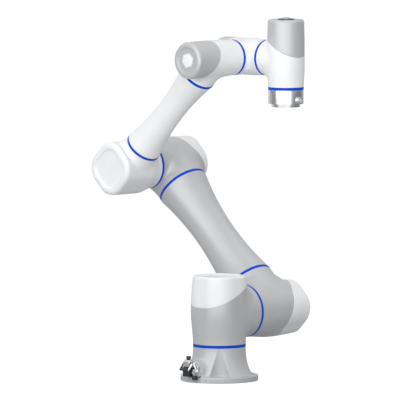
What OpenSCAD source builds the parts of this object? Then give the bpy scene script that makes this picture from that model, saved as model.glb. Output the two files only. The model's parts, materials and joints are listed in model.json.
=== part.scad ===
// Six-axis collaborative robot arm, drawn in its rest pose, in millimetres.
// Origin: centre of the mounting face. +Z up along the base joint. The shoulder, elbow and
// first wrist joints turn about lines parallel to Y.

/* [Links] */
// Height of the shoulder axis above the mounting face
shoulder_height = 147; // [145:1:150]
// Upper arm length, shoulder axis to elbow axis
upper_arm_length = 427; // [410:1:440]
// Forearm length, elbow axis to first wrist axis
forearm_length = 357; // [340:1:370]
// Lean of the upper arm from vertical
upper_arm_lean = 45; // [35:1:50]
// Lean of the forearm from vertical
forearm_lean = 45; // [35:1:50]
// Offset along Y of the upper arm's centre plane
upper_arm_plane = 148; // [147:0.5:150]
// Offset along Y of the forearm's centre plane
forearm_plane = 22.3; // [21:0.1:23]
// Offset along Y of the last two wrist joints
wrist_plane = 141; // [140:0.5:142]
// Distance along X between the two wrist housings
wrist_span = 116; // [115:0.5:118]
// Distance from the last wrist housing down to the tool face
tool_drop = 105; // [103:0.5:107]

/* [Joint rings] */
// Width of each coloured joint ring
ring_w = 6; // [5:0.5:7]
// Radial thickness of a joint ring
ring_t = 7; // [6:0.5:8]
// Running gap between two housings that turn against each other
gap = 0.4; // [0.3:0.1:0.6]
// Base joint ring height
ring_1 = 77.2; // [76:0.1:78]
// Shoulder joint ring, offset along Y
ring_2 = 77.4; // [77:0.1:78]
// Elbow joint ring, offset along Y
ring_3 = 84.2; // [83:0.1:85]
// First wrist joint ring, offset along Y
ring_4 = 91.4; // [91:0.1:92]
// Second wrist ring, distance from the first wrist housing's centre
ring_5 = 60; // [59:0.5:61]
// Third wrist ring, distance below the second wrist housing's centre
ring_6 = 64.4; // [64:0.1:65]

/* [Housings] */
// Wall thickness of the castings and caps
wall = 3.5; // [3:0.5:4]
// Port radius of the two large joints
big_r = 58; // [57.5:0.1:58.5]
// Largest radius of the large housings
big_belly_r = 62; // [61:0.5:63]
// Port radius of the elbow joint
mid_r = 50; // [49:0.5:50.5]
// Port radius of the wrist joints
small_r = 39.2; // [39:0.1:39.4]
// Largest radius of the wrist housings
small_belly_r = 40.8; // [40.5:0.1:41]
// End radius of the upper arm tube
upper_tube_r = 57.5; // [57:0.1:58]
// Radius of the upper arm tube at its waist
upper_waist_r = 42.8; // [41:0.1:45]
// End radius of the forearm tube
fore_tube_r = 40.4; // [40:0.1:41]
// Radius of the forearm tube at its waist
fore_waist_r = 29.3; // [28:0.1:31]

/* [Base] */
// Radius of the mounting flange
flange_r = 85; // [84:1:86]
// Thickness of the mounting flange
flange_t = 12.5; // [12:0.5:13]
// Pitch circle diameter of the four base bolts
base_pcd = 143; // [142:1:144]
// Radius of the base bolt holes
base_bolt_r = 4.5; // [4.5:0.1:5]
// Pitch circle diameter of the four tool threads
tool_pcd = 50; // [42:1:52]

/* [Hidden] */
$fn = 96;
eps = 0.02;
paint_grey = [0.74, 0.75, 0.76];
paint_white = [0.95, 0.95, 0.96];
ring_blue = [0.0, 0.22, 0.78];
steel = [0.62, 0.63, 0.65];
alloy = [0.80, 0.81, 0.83];
black = [0.10, 0.10, 0.11];
copper = [0.72, 0.45, 0.25];

// Joint centres, each on the centre plane of its housing
upper_dir = [-sin(upper_arm_lean), 0, cos(upper_arm_lean)];
fore_dir = [sin(forearm_lean), 0, cos(forearm_lean)];
shoulder_at = [0, 0, shoulder_height];
elbow_xz = shoulder_at + upper_arm_length * upper_dir;
wrist_xz = elbow_xz + forearm_length * fore_dir;
wrist_1_at = wrist_xz + [0, wrist_plane, 0];
wrist_2_at = wrist_1_at + [wrist_span, 0, 0];
tool_z = wrist_2_at[2] - tool_drop;

// Places of the fixed rings along the arms, from the joint axis nearer the base
upper_ring_a = 75.8;
upper_ring_b = 359.4;
fore_ring_a = 69.3;
fore_ring_b = 305.3;

// How far a housing's own opening stops short of its joint's ring centre
host_end = ring_w / 2 + gap;

// Lengths of the housings from their centres: to the open end, to the branch end, to the cap end
shoulder_in = shoulder_height - ring_1 - host_end;
shoulder_out = ring_2 - ring_w / 2;
shoulder_cap_end = 83;
upper_in = upper_arm_plane - ring_2 - host_end;
upper_out = upper_ring_a - ring_w / 2;
upper_cap_end = 83;
upper_elbow_in = upper_arm_plane - ring_3 - ring_w / 2;
upper_elbow_out = upper_arm_length - upper_ring_b - ring_w / 2;
upper_elbow_cap_end = 71;
fore_elbow_in = ring_3 - forearm_plane - host_end;
fore_elbow_out = fore_ring_a - ring_w / 2;
fore_elbow_cap_end = 60;
fore_wrist_in = ring_4 - forearm_plane - host_end;
fore_wrist_out = forearm_length - fore_ring_b - ring_w / 2;
fore_wrist_cap_end = 74.5;
wrist_1_in = ring_5 - host_end;
wrist_1_out = wrist_plane - ring_4 - ring_w / 2;
wrist_1_cap_end = 75;
wrist_2_in = ring_6 - host_end;
wrist_2_out = wrist_span - ring_5 - ring_w / 2;
wrist_2_cap_end = 86.7;

// Where the cap is cut from its housing: height at the axis, and rise towards the branch
big_cut = 42.3;
big_rise = 0.48;
small_cut = 28;
small_rise = 0.58;
upper_elbow_cut = 36;
fore_elbow_cut = 24;

// Drums: cap end radius and edge of the large housings, and edge of the wrist housings
big_end_r = 57;
big_edge = 5;
small_edge = 4;
big_belly_z = 14;
small_belly_z = 9;

// Rounded-square sections of the elbow housings: half width, corner radius and end edge
upper_elbow_half = 56;
upper_elbow_corner = 46;
fore_elbow_half = 54;
fore_elbow_corner = 42;
elbow_edge = 8;

// Sunk panels in the cap ends: half width or radius, and depth
big_panel = 40;
big_panel_depth = 2.5;
upper_elbow_panel = 38;
upper_elbow_panel_depth = 2;
fore_elbow_panel = 36;
fore_elbow_panel_depth = 5;
small_panel_r = 29;
small_panel_depth = 4.5;
panel_corner = 0.68;
badge_r = 17;
badge_t = 2.5;

// How much narrower a branch is bored than its port, in the large, elbow and wrist housings
branch_step_big = 1.3;
branch_step_mid = 0.7;
branch_step_small = 0.9;

// How far an output hub reaches down past its ring
hub_depth = 11;

// Drive units: outer radius, length, and the start of the unit past the ring centre
drive_start = host_end + 2;
drives = [
    [50, 100],
    [50, 100],
    [44, 85],
    [34, 100],
    [34, 90],
    [34, 90],
];

// Inside a drive unit, from its mounting face: bearing seat, gear chamber, motor chamber
bearing_depth = 15;
gear_low = 14;
gear_high = 30;
motor_low = 38;
motor_end_wall = 12;
neck_reach = 12;

// Along a motor shaft: shaft and wave generator starts, running gaps, and encoder disc
shaft_low = 16;
generator_low = 17;
generator_high = 28;
magnet_gap = 2;
shaft_overhang = 8;
encoder_gap = 3;
encoder_t = 3;

// Cable harnesses: radius, and how far they stay from the joint axes at each end
upper_harness_r = 8;
upper_harness_low = 60;
upper_harness_high = 25;
fore_harness_r = 6;
fore_harness_low = 55;
fore_harness_high = 45;

// Bore of the driven port that each output hub sits in
hub_seats = [
    big_r - wall,
    big_r - wall - branch_step_big,
    mid_r - wall,
    small_r - wall - branch_step_small,
    small_r - wall - branch_step_small,
];

// Free-drive button on the last wrist cap
button_r = 10;
panel_r = 18.5;
panel_low = wrist_2_cap_end - 4;
panel_top = wrist_2_cap_end + 1.4;
button_low = panel_low + 1;
button_top = wrist_2_cap_end + 5.3;
button_dome_r = 26;
screw_pitch_r = 28;
screw_r = 2.6;
screw_head = 0.9;

// Connector boss on the base
boss_half = 23;
boss_top = 47;
boss_end = 78;
plate_t = 2;
plate_inset = 1.5;
plate_face = -boss_end - plate_t;

// Plug of the main connector: metal hood with a round top, body below it, and knob
hood_x = -17.5;
hood_w = 19;
hood_depth = 17;
hood_low = 34;
hood_r = hood_depth / 2;
hood_axis_z = 43;
plug_depth = 19;
knob_r = 5.2;
knob_h = 6.5;

// Signal connector: chamfered metal body, barrel and cable gland
io_x = 4;
io_w = 17;
io_low = 15;
io_high = 43;
io_depth = 9;
barrel_r = 6;
barrel_z = 24;
barrel_l = 5;
gland_z = 7;
gland_h = 8;
gland_wall = 2;

// Bail lever: pivot, arms and grip
latch_y = -88;
latch_z = 46;
latch_low_x = -20.6;
latch_high_x = 2.1;
latch_arm_t = 2.5;
latch_arm_l = 22;
latch_arm_half = 2.2;
latch_boss_r = 3;
latch_grip_r = 2.6;
latch_tip = 50;

// Base: flare arc, bolt scallops, dowel holes, bore, bottom plate
flare_r = 120;
scallop_r = 25;
scallop_at = 82.5;
base_dowel_r = 3;
base_dowel_depth = 8;
base_bore_r = 50;
bottom_plate_t = 5;

// Tool flange: top, spigot, centre bore, threads, dowel, and the connector in its side
tool_top = wrist_2_at[2] - ring_6 - ring_w / 2;
step_h = 7;
step_r = 31.5;
pilot_r = 15.75;
pilot_depth = 6;
thread_r = 2.5;
thread_depth = 10;
tool_dowel_r = 3;
tool_dowel_depth = 6;
tool_connector_r = 7.5;
tool_connector_l = 8;
tool_connector_z = 15.5;
tool_connector_seat = 1.5;
socket_r = 4.2;
socket_floor = 2.4;

// Wider than any housing: reach of the half space that cuts caps from housings
far = 300;

// ---- Places. In each housing's own frame its centre is the origin, -Z runs to its open
// ---- joint end, +Z to its cap and +Y along its branch.

module at_shoulder() translate(shoulder_at) children();

module at_upper_arm() translate(shoulder_at + [0, upper_arm_plane, 0])
    rotate([0, 180 - upper_arm_lean, 0]) rotate([-90, 0, 0]) children();

module at_upper_elbow() translate(elbow_xz + [0, upper_arm_plane, 0])
    rotate([0, -upper_arm_lean, 0]) rotate([-90, 0, 0]) children();

module at_fore_elbow() translate(elbow_xz + [0, forearm_plane, 0])
    rotate([0, forearm_lean, 0]) rotate([90, 0, 0]) children();

module at_fore_wrist() translate(wrist_xz + [0, forearm_plane, 0])
    rotate([0, 180 + forearm_lean, 0]) rotate([90, 0, 0]) children();

module at_wrist_1() translate(wrist_1_at) rotate([0, -90, 0]) rotate([0, 0, 180]) children();

module at_wrist_2() translate(wrist_2_at) rotate([0, 0, 90]) children();

// Joint frames: origin at the ring's centre, +Z into the housing that holds the drive
module at_joint(n) {
    if (n == 1) translate([0, 0, ring_1]) children();
    if (n == 2) translate([0, ring_2, shoulder_height]) rotate([-90, 0, 0]) children();
    if (n == 3) translate(elbow_xz + [0, ring_3, 0]) rotate([90, 0, 0]) children();
    if (n == 4) translate(wrist_xz + [0, ring_4, 0]) rotate([90, 0, 0]) children();
    if (n == 5) translate(wrist_1_at + [ring_5, 0, 0]) rotate([0, -90, 0]) children();
    if (n == 6) translate(wrist_2_at - [0, 0, ring_6]) children();
}

// Along an arm: origin on its centre plane at a joint axis, +Z towards the next joint
module along_upper_arm() translate(shoulder_at + [0, upper_arm_plane, 0])
    rotate([0, -upper_arm_lean, 0]) children();

module along_forearm() translate(elbow_xz + [0, forearm_plane, 0])
    rotate([0, forearm_lean, 0]) children();

// ---- Shared shapes

module ring(r) translate([0, 0, -ring_w / 2]) difference() {
    cylinder(r = r, h = ring_w);
    translate([0, 0, -1]) cylinder(r = r - ring_t, h = ring_w + 2);
}

// Square with round corners, drawn from true circles
module rounded_square(half, corner) {
    square([2 * half, 2 * (half - corner)], center = true);
    square([2 * (half - corner), 2 * half], center = true);
    for (x = [-1, 1], y = [-1, 1]) translate([x * (half - corner), y * (half - corner)])
        circle(r = corner);
}

// Drum about Z: open end radius r_in, belly radius at z_mid, cap end radius with a turned edge
module drum(r_in, r_belly, r_end, z_in, z_mid, z_end, edge) rotate_extrude() polygon([
    [0, z_in], [r_in, z_in], [r_belly, z_mid], [r_end, z_end - edge],
    [r_end - 0.3 * edge, z_end - 0.3 * edge], [r_end - edge, z_end], [0, z_end],
]);

module branch(r, y_end) rotate([-90, 0, 0]) cylinder(r = r, h = y_end);

// The half space on the cap's side of the slanted cut
module cap_side(cut, rise) translate([0, 0, cut]) rotate([atan(rise), 0, 0])
    translate([-far / 2, -far / 2, 0]) cube([far, far, far]);

// Hollow tee: open at -z_in and at the branch's end, closed at the cap's end
module big_shell(z_in, y_out, z_end, port_r) difference() {
    union() {
        drum(big_r + 0.8, big_belly_r, big_end_r, -z_in, big_belly_z, z_end, big_edge);
        branch(port_r, y_out);
    }
    translate([0, 0, -z_in - 1]) cylinder(r = big_r - wall, h = z_in + z_end - wall - 2);
    branch(port_r - wall - branch_step_big, y_out + 1);
    translate([0, 0, z_end - big_panel_depth]) linear_extrude(2 * big_panel_depth)
        rounded_square(big_panel, big_panel * panel_corner);
}

module small_shell(z_in, y_out, z_end, port_r, recess) difference() {
    union() {
        drum(small_r + 0.5, small_belly_r, small_belly_r - 0.3, -z_in, small_belly_z, z_end,
            small_edge);
        branch(port_r, y_out);
    }
    translate([0, 0, -z_in - 1])
        cylinder(r = small_r - wall, h = z_in + z_end - wall - recess + 1);
    branch(port_r - wall - branch_step_small, y_out + 1);
    if (recess > 0) translate([0, 0, z_end - recess])
        cylinder(r = small_panel_r, h = recess + 1);
}

// Rounded-square body that turns into a round port at its open end
module mid_solid(half, corner, r_in, r_corner, z_in, z_end, edge) intersection() {
    translate([0, 0, z_in]) linear_extrude(z_end - z_in) rounded_square(half, corner);
    rotate_extrude() polygon([
        [0, z_in], [r_in, z_in], [r_in + 0.6 * (r_corner - r_in), z_in + 8],
        [r_corner, z_in + 24], [r_corner, z_end - 2 * edge],
        [r_corner - 0.4 * edge, z_end - 0.6 * edge], [r_corner - 1.3 * edge, z_end], [0, z_end],
    ]);
}

module mid_shell(half, corner, z_in, y_out, z_end, port_r, panel, recess) difference() {
    r_corner = (half - corner) * sqrt(2) + corner + 0.5;
    union() {
        mid_solid(half, corner, mid_r, r_corner, -z_in, z_end, elbow_edge);
        branch(port_r, y_out);
    }
    mid_solid(half - wall, corner - wall, mid_r - wall, r_corner - wall,
        -z_in - eps, z_end - wall - recess, elbow_edge);
    branch(port_r - wall - branch_step_mid, y_out + 1);
    translate([0, 0, z_end - recess]) linear_extrude(recess + 1)
        rounded_square(panel, panel * panel_corner);
}

// A tube about Z whose outside narrows to a waist along one circular arc
module waisted_tube(length, r_end, r_waist) {
    sag = r_end - r_waist;
    arc_r = (pow(length / 2, 2) + sag * sag) / (2 * sag);
    rotate_extrude() difference() {
        translate([r_waist - wall - 8, 0]) square([r_end - r_waist + wall + 8, length]);
        translate([r_waist + arc_r, length / 2]) circle(r = arc_r, $fn = 256);
        translate([0, -1]) square([r_waist - wall, length + 2]);
    }
}

// ---- Drive parts, each in its joint's frame

function neck_r(r) = 0.62 * r;
function shaft_r(r) = 0.28 * r;
function hollow_r(r) = 0.19 * r;
function chamber_r(r) = 0.8 * r;
function generator_r(r) = 0.72 * r;
function motor_r(r) = 0.66 * r;
function magnet_r(r) = 0.62 * r;
function encoder_r(r) = 0.6 * r;

// Output hub: bolted in the driven housing's port, its neck runs in the drive's bearing
module output_flange(n) at_joint(n) {
    r = drives[n - 1][0];
    low = -ring_w / 2 - hub_depth;
    difference() {
        union() {
            translate([0, 0, low]) cylinder(r = hub_seats[n - 1] - 0.1, h = hub_depth - 0.5);
            translate([0, 0, low]) cylinder(r = neck_r(r), h = drive_start + neck_reach - low);
        }
        translate([0, 0, low - 1]) cylinder(r = hollow_r(r), h = 2 * neck_reach + far);
    }
}

// Drive body: bearing seat, gear chamber, motor chamber and brake end in one housing
module gear_unit(n) at_joint(n) translate([0, 0, drive_start]) {
    r = drives[n - 1][0];
    length = drives[n - 1][1];
    difference() {
        cylinder(r = r, h = length);
        translate([0, 0, -1]) cylinder(r = neck_r(r) + 0.05, h = bearing_depth + 1);
        translate([0, 0, gear_low]) cylinder(r = chamber_r(r), h = gear_high - gear_low);
        translate([0, 0, gear_low + 1]) cylinder(r = shaft_r(r) + 0.05, h = length);
        translate([0, 0, motor_low]) cylinder(r = motor_r(r), h = length - motor_low - motor_end_wall);
    }
}

// Hollow motor shaft with its wave generator, magnet drum and encoder disc
module rotor(n) at_joint(n) translate([0, 0, drive_start]) {
    r = drives[n - 1][0];
    length = drives[n - 1][1];
    difference() {
        union() {
            translate([0, 0, shaft_low])
                cylinder(r = shaft_r(r), h = length + shaft_overhang - shaft_low);
            translate([0, 0, generator_low])
                cylinder(r = generator_r(r), h = generator_high - generator_low);
            translate([0, 0, motor_low + magnet_gap])
                cylinder(r = magnet_r(r), h = length - motor_low - motor_end_wall - 2 * magnet_gap);
            translate([0, 0, length + encoder_gap]) cylinder(r = encoder_r(r), h = encoder_t);
        }
        cylinder(r = hollow_r(r), h = length + 2 * shaft_overhang);
    }
}

// ---- Base

// Flange and flared pedestal; the flare is one arc that leaves the ring upright
module base_profile() {
    top = ring_1 - ring_w / 2;
    square([flange_r, flange_t]);
    difference() {
        square([flange_r - wall, top]);
        translate([big_r + flare_r, top]) circle(r = flare_r, $fn = 256);
    }
}

module base_boss() rotate([90, 0, 0]) linear_extrude(boss_end) {
    translate([0, boss_top - boss_half]) circle(r = boss_half);
    translate([-boss_half, 0]) square([2 * boss_half, boss_top - boss_half]);
}

module base_casting() color(paint_grey) difference() {
    union() {
        // turned by 20 degrees so that its seam lies between the scallops
        rotate([0, 0, 20]) rotate_extrude() base_profile();
        base_boss();
    }
    for (a = [45:90:315]) rotate([0, 0, a]) {
        translate([scallop_at, 0, flange_t]) cylinder(r = scallop_r, h = ring_1);
        translate([base_pcd / 2, 0, -1]) cylinder(r = base_bolt_r, h = flange_t + 2);
    }
    translate([0, 0, -1]) cylinder(r = base_bore_r, h = ring_1 + 10);
    translate([0, 0, ring_1 - ring_w / 2 - hub_depth]) cylinder(r = big_r - wall, h = 2 * hub_depth);
    for (x = [-base_pcd / 2, base_pcd / 2]) translate([x, 0, -1])
        cylinder(r = base_dowel_r, h = base_dowel_depth + 1);
}

module base_bottom_plate() color(alloy) translate([0, 0, 1])
    cylinder(r = base_bore_r - 0.1, h = bottom_plate_t);

// Upright plate with a round top, standing clear of the flange
module arch_plate(half, top, thick) rotate([90, 0, 0]) linear_extrude(thick) intersection() {
    union() {
        translate([0, top - half]) circle(r = half);
        translate([-half, 0]) square([2 * half, top - half]);
    }
    translate([-half, flange_t + 1]) square([2 * half, top]);
}

module connector_plate() color(alloy) translate([0, -boss_end, 0])
    arch_plate(boss_half - plate_inset, boss_top - plate_inset, plate_t);

// Metal bulkhead hood of the main connector, with a round top
module plug_housing() color(steel) {
    translate([hood_x, plate_face - hood_depth, hood_low])
        cube([hood_w, hood_depth, hood_axis_z - hood_low]);
    translate([hood_x, plate_face - hood_r, hood_axis_z]) rotate([0, 90, 0])
        cylinder(r = hood_r, h = hood_w);
}

// Plug body under the hood, clear of the flange
module plug_body() color(black) {
    low = flange_t + 1;
    translate([hood_x + 0.5, plate_face - plug_depth, low])
        cube([hood_w - 1, plug_depth, hood_low - low]);
}

module plug_knob() color(black)
    translate([hood_x + hood_w / 2, plate_face - hood_r, hood_axis_z + hood_r])
        cylinder(r = knob_r, h = knob_h);

// Chamfered metal body of the signal connector, with its round barrel
module io_housing() color(steel) {
    chamfer = 7;
    translate([io_x, plate_face, 0]) rotate([90, 0, 0]) linear_extrude(io_depth) polygon([
        [0, io_low], [io_w, io_low], [io_w, io_high - chamfer - 1], [io_w - chamfer, io_high],
        [chamfer / 2, io_high], [0, io_high - chamfer / 2],
    ]);
    translate([io_x + io_w / 2, plate_face - io_depth, barrel_z]) rotate([90, 0, 0])
        cylinder(r = barrel_r, h = barrel_l);
}

// Cable gland below the signal connector, open to the bottom
module io_gland() color(black)
    translate([io_x + io_w / 2, plate_face - io_depth - 1.4, gland_z]) difference() {
        cylinder(r = barrel_r, h = gland_h);
        translate([0, 0, -1]) cylinder(r = barrel_r - gland_wall, h = gland_h - 2);
    }

// Bail lever: two arms on pivot pins beside the hood, and a grip across the front
module latch_lever() color(steel) translate([0, latch_y, latch_z]) {
    for (x = [latch_low_x, latch_high_x]) translate([x, 0, 0]) {
        rotate([0, 90, 0]) cylinder(r = latch_boss_r, h = latch_arm_t);
        rotate([latch_tip, 0, 0]) translate([0, -latch_arm_l, -latch_arm_half])
            cube([latch_arm_t, latch_arm_l, 2 * latch_arm_half]);
    }
    rotate([latch_tip, 0, 0]) translate([latch_low_x, -latch_arm_l, 0]) rotate([0, 90, 0])
        cylinder(r = latch_grip_r, h = latch_high_x + latch_arm_t - latch_low_x);
}

module j1_ring() color(ring_blue) at_joint(1) ring(big_r);
module j1_output_flange() color(steel) output_flange(1);

// ---- Shoulder

module shoulder_shell() at_shoulder()
    big_shell(shoulder_in, shoulder_out, shoulder_cap_end, big_r);

module shoulder_housing() color(paint_grey) difference() {
    shoulder_shell();
    at_shoulder() cap_side(big_cut, big_rise);
}

module shoulder_cap() color(paint_white) intersection() {
    shoulder_shell();
    at_shoulder() cap_side(big_cut, big_rise);
}

module j2_ring() color(ring_blue) at_joint(2) ring(big_r);
module j1_gear_unit() color(steel) gear_unit(1);
module j2_output_flange() color(steel) output_flange(2);

// ---- Upper arm

module upper_shell() at_upper_arm() big_shell(upper_in, upper_out, upper_cap_end, upper_tube_r);

module upper_arm_lower_housing() color(paint_grey) difference() {
    upper_shell();
    at_upper_arm() cap_side(big_cut, big_rise);
}

module upper_arm_lower_cap() color(paint_white) intersection() {
    upper_shell();
    at_upper_arm() cap_side(big_cut, big_rise);
}

module upper_arm_lower_ring() color(ring_blue) along_upper_arm()
    translate([0, 0, upper_ring_a]) ring(upper_tube_r);

module upper_arm_upper_ring() color(ring_blue) along_upper_arm()
    translate([0, 0, upper_ring_b]) ring(upper_tube_r);

module upper_arm_tube() color(paint_grey) along_upper_arm()
    translate([0, 0, upper_ring_a + ring_w / 2])
        waisted_tube(upper_ring_b - upper_ring_a - ring_w, upper_tube_r, upper_waist_r);

module upper_elbow_shell() at_upper_elbow()
    mid_shell(upper_elbow_half, upper_elbow_corner, upper_elbow_in, upper_elbow_out,
        upper_elbow_cap_end, upper_tube_r, upper_elbow_panel, upper_elbow_panel_depth);

module upper_arm_elbow_housing() color(paint_grey) difference() {
    upper_elbow_shell();
    at_upper_elbow() cap_side(upper_elbow_cut, big_rise);
}

module upper_arm_elbow_cap() color(paint_white) intersection() {
    upper_elbow_shell();
    at_upper_elbow() cap_side(upper_elbow_cut, big_rise);
}

module upper_arm_harness() color(black) along_upper_arm()
    translate([0, 0, upper_harness_low])
        cylinder(r = upper_harness_r, h = upper_arm_length - upper_harness_low - upper_harness_high);

module j3_ring() color(ring_blue) at_joint(3) ring(mid_r);
module j2_gear_unit() color(steel) gear_unit(2);
module j3_output_flange() color(steel) output_flange(3);

// ---- Forearm

module fore_elbow_shell() at_fore_elbow()
    mid_shell(fore_elbow_half, fore_elbow_corner, fore_elbow_in, fore_elbow_out,
        fore_elbow_cap_end, fore_tube_r, fore_elbow_panel, fore_elbow_panel_depth);

module forearm_elbow_housing() color(paint_white) difference() {
    fore_elbow_shell();
    at_fore_elbow() cap_side(fore_elbow_cut, big_rise);
}

module forearm_elbow_cap() color(paint_white) intersection() {
    fore_elbow_shell();
    at_fore_elbow() cap_side(fore_elbow_cut, big_rise);
}

module forearm_lower_ring() color(ring_blue) along_forearm()
    translate([0, 0, fore_ring_a]) ring(fore_tube_r);

module forearm_upper_ring() color(ring_blue) along_forearm()
    translate([0, 0, fore_ring_b]) ring(fore_tube_r);

module forearm_tube() color(paint_white) along_forearm()
    translate([0, 0, fore_ring_a + ring_w / 2])
        waisted_tube(fore_ring_b - fore_ring_a - ring_w, fore_tube_r, fore_waist_r);

module fore_wrist_shell() at_fore_wrist()
    small_shell(fore_wrist_in, fore_wrist_out, fore_wrist_cap_end, fore_tube_r - 0.6,
        small_panel_depth);

module forearm_wrist_housing() color(paint_white) difference() {
    fore_wrist_shell();
    at_fore_wrist() cap_side(small_cut, small_rise);
}

module forearm_wrist_cap() color(paint_grey) intersection() {
    fore_wrist_shell();
    at_fore_wrist() cap_side(small_cut, small_rise);
}

// Plain six-sided trim piece in the cap's round recess
module forearm_badge() color(paint_white) at_fore_wrist()
    translate([0, 0, fore_wrist_cap_end - small_panel_depth])
        cylinder(r = badge_r, h = badge_t, $fn = 6);

module forearm_harness() color(black) along_forearm()
    translate([0, 0, fore_harness_low])
        cylinder(r = fore_harness_r, h = forearm_length - fore_harness_low - fore_harness_high);

module j3_gear_unit() color(steel) gear_unit(3);
module j4_gear_unit() color(steel) gear_unit(4);

// ---- First wrist housing

module wrist_1_shell() at_wrist_1()
    small_shell(wrist_1_in, wrist_1_out, wrist_1_cap_end, small_r, small_panel_depth);

module wrist_1_housing() color(paint_white) difference() {
    wrist_1_shell();
    at_wrist_1() cap_side(small_cut, small_rise);
}

module wrist_1_cap() color(paint_grey) intersection() {
    wrist_1_shell();
    at_wrist_1() cap_side(small_cut, small_rise);
}

module j4_ring() color(ring_blue) at_joint(4) ring(small_r);
module j4_output_flange() color(steel) output_flange(4);
module j5_gear_unit() color(steel) gear_unit(5);

// ---- Second wrist housing

module wrist_2_shell() at_wrist_2() difference() {
    small_shell(wrist_2_in, wrist_2_out, wrist_2_cap_end, small_r, 0);
    translate([0, 0, panel_low]) cylinder(r = panel_r + 0.2, h = 10);
    translate([0, 0, panel_low - 10]) cylinder(r = button_r + 3, h = 20);
}

module wrist_2_housing() color(paint_white) difference() {
    wrist_2_shell();
    at_wrist_2() cap_side(small_cut, small_rise);
}

module wrist_2_cap() color(paint_grey) intersection() {
    wrist_2_shell();
    at_wrist_2() cap_side(small_cut, small_rise);
}

module button_panel() color(black) at_wrist_2() translate([0, 0, panel_low]) difference() {
    cylinder(r = panel_r, h = panel_top - panel_low);
    translate([0, 0, -1]) cylinder(r = button_r + 0.2, h = 20);
}

module cap_screws() color(steel) at_wrist_2() for (a = [45:90:315]) rotate([0, 0, a])
    translate([screw_pitch_r, 0, wrist_2_cap_end]) cylinder(r = screw_r, h = screw_head);

module j5_ring() color(ring_blue) at_joint(5) ring(small_r);
module j5_output_flange() color(steel) output_flange(5);
module j6_gear_unit() color(steel) gear_unit(6);

// ---- Free-drive button: a stem with a low dome

module drag_button() color(paint_grey) at_wrist_2() {
    rise = button_dome_r - sqrt(button_dome_r * button_dome_r - button_r * button_r);
    rotate_extrude() {
        translate([0, button_low]) square([button_r, button_top - rise - button_low]);
        intersection() {
            translate([0, button_top - button_dome_r]) circle(r = button_dome_r);
            translate([0, button_top - rise]) square([button_r, rise]);
        }
    }
}

// ---- Tool flange: mounting face down, with four threads, a dowel hole and a centre bore

module at_tool() translate([wrist_2_at[0], wrist_2_at[1], tool_z]) children();

module tool_flange() color(alloy) difference() {
    union() {
        at_tool() cylinder(r = step_r, h = step_h);
        at_tool() translate([0, 0, step_h]) cylinder(r = small_r - 0.4, h = tool_top - tool_z - step_h);
        at_joint(6) translate([0, 0, -ring_w / 2 - 1])
            cylinder(r = neck_r(drives[5][0]), h = drive_start + neck_reach + ring_w / 2 + 1);
    }
    at_tool() translate([0, 0, -1]) cylinder(r = pilot_r, h = pilot_depth + 1);
    at_tool() cylinder(r = hollow_r(drives[5][0]), h = far);
    at_tool() for (a = [45:90:315]) rotate([0, 0, a])
        translate([tool_pcd / 2, 0, -1]) cylinder(r = thread_r, h = thread_depth + 1);
    at_tool() translate([tool_pcd / 2, 0, -1]) cylinder(r = tool_dowel_r, h = tool_dowel_depth + 1);
    at_tool_connector() cylinder(r = tool_connector_r, h = tool_connector_l);
}

// Connector seated in a flat-bottomed pocket in the flange's side
module at_tool_connector() at_tool()
    translate([small_r - 0.4 - tool_connector_seat, 0, tool_connector_z])
        rotate([0, 90, 0]) children();

module tool_connector() color(steel) at_tool_connector() difference() {
    cylinder(r = tool_connector_r, h = tool_connector_l);
    translate([0, 0, socket_floor]) cylinder(r = socket_r, h = tool_connector_l);
}

module j6_ring() color(ring_blue) at_joint(6) ring(small_r);

// ---- Motor shafts

module j1_rotor() color(copper) rotor(1);
module j2_rotor() color(copper) rotor(2);
module j3_rotor() color(copper) rotor(3);
module j4_rotor() color(copper) rotor(4);
module j5_rotor() color(copper) rotor(5);
module j6_rotor() color(copper) rotor(6);

base_casting();
base_bottom_plate();
connector_plate();
plug_housing();
plug_body();
plug_knob();
io_housing();
io_gland();
j1_output_flange();
j1_ring();
latch_lever();
shoulder_housing();
shoulder_cap();
j1_gear_unit();
j2_output_flange();
j2_ring();
upper_arm_lower_housing();
upper_arm_lower_cap();
upper_arm_lower_ring();
upper_arm_tube();
upper_arm_upper_ring();
upper_arm_elbow_housing();
upper_arm_elbow_cap();
upper_arm_harness();
j2_gear_unit();
j3_output_flange();
j3_ring();
forearm_elbow_housing();
forearm_elbow_cap();
forearm_lower_ring();
forearm_tube();
forearm_upper_ring();
forearm_wrist_housing();
forearm_wrist_cap();
forearm_badge();
forearm_harness();
j3_gear_unit();
j4_gear_unit();
wrist_1_housing();
wrist_1_cap();
j4_output_flange();
j4_ring();
j5_gear_unit();
wrist_2_housing();
wrist_2_cap();
button_panel();
cap_screws();
j5_output_flange();
j5_ring();
j6_gear_unit();
drag_button();
tool_flange();
tool_connector();
j6_ring();
j1_rotor();
j2_rotor();
j3_rotor();
j4_rotor();
j5_rotor();
j6_rotor();
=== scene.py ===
import json
import math

import bmesh
import bpy
import numpy as np
from mathutils import Matrix, Vector


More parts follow.
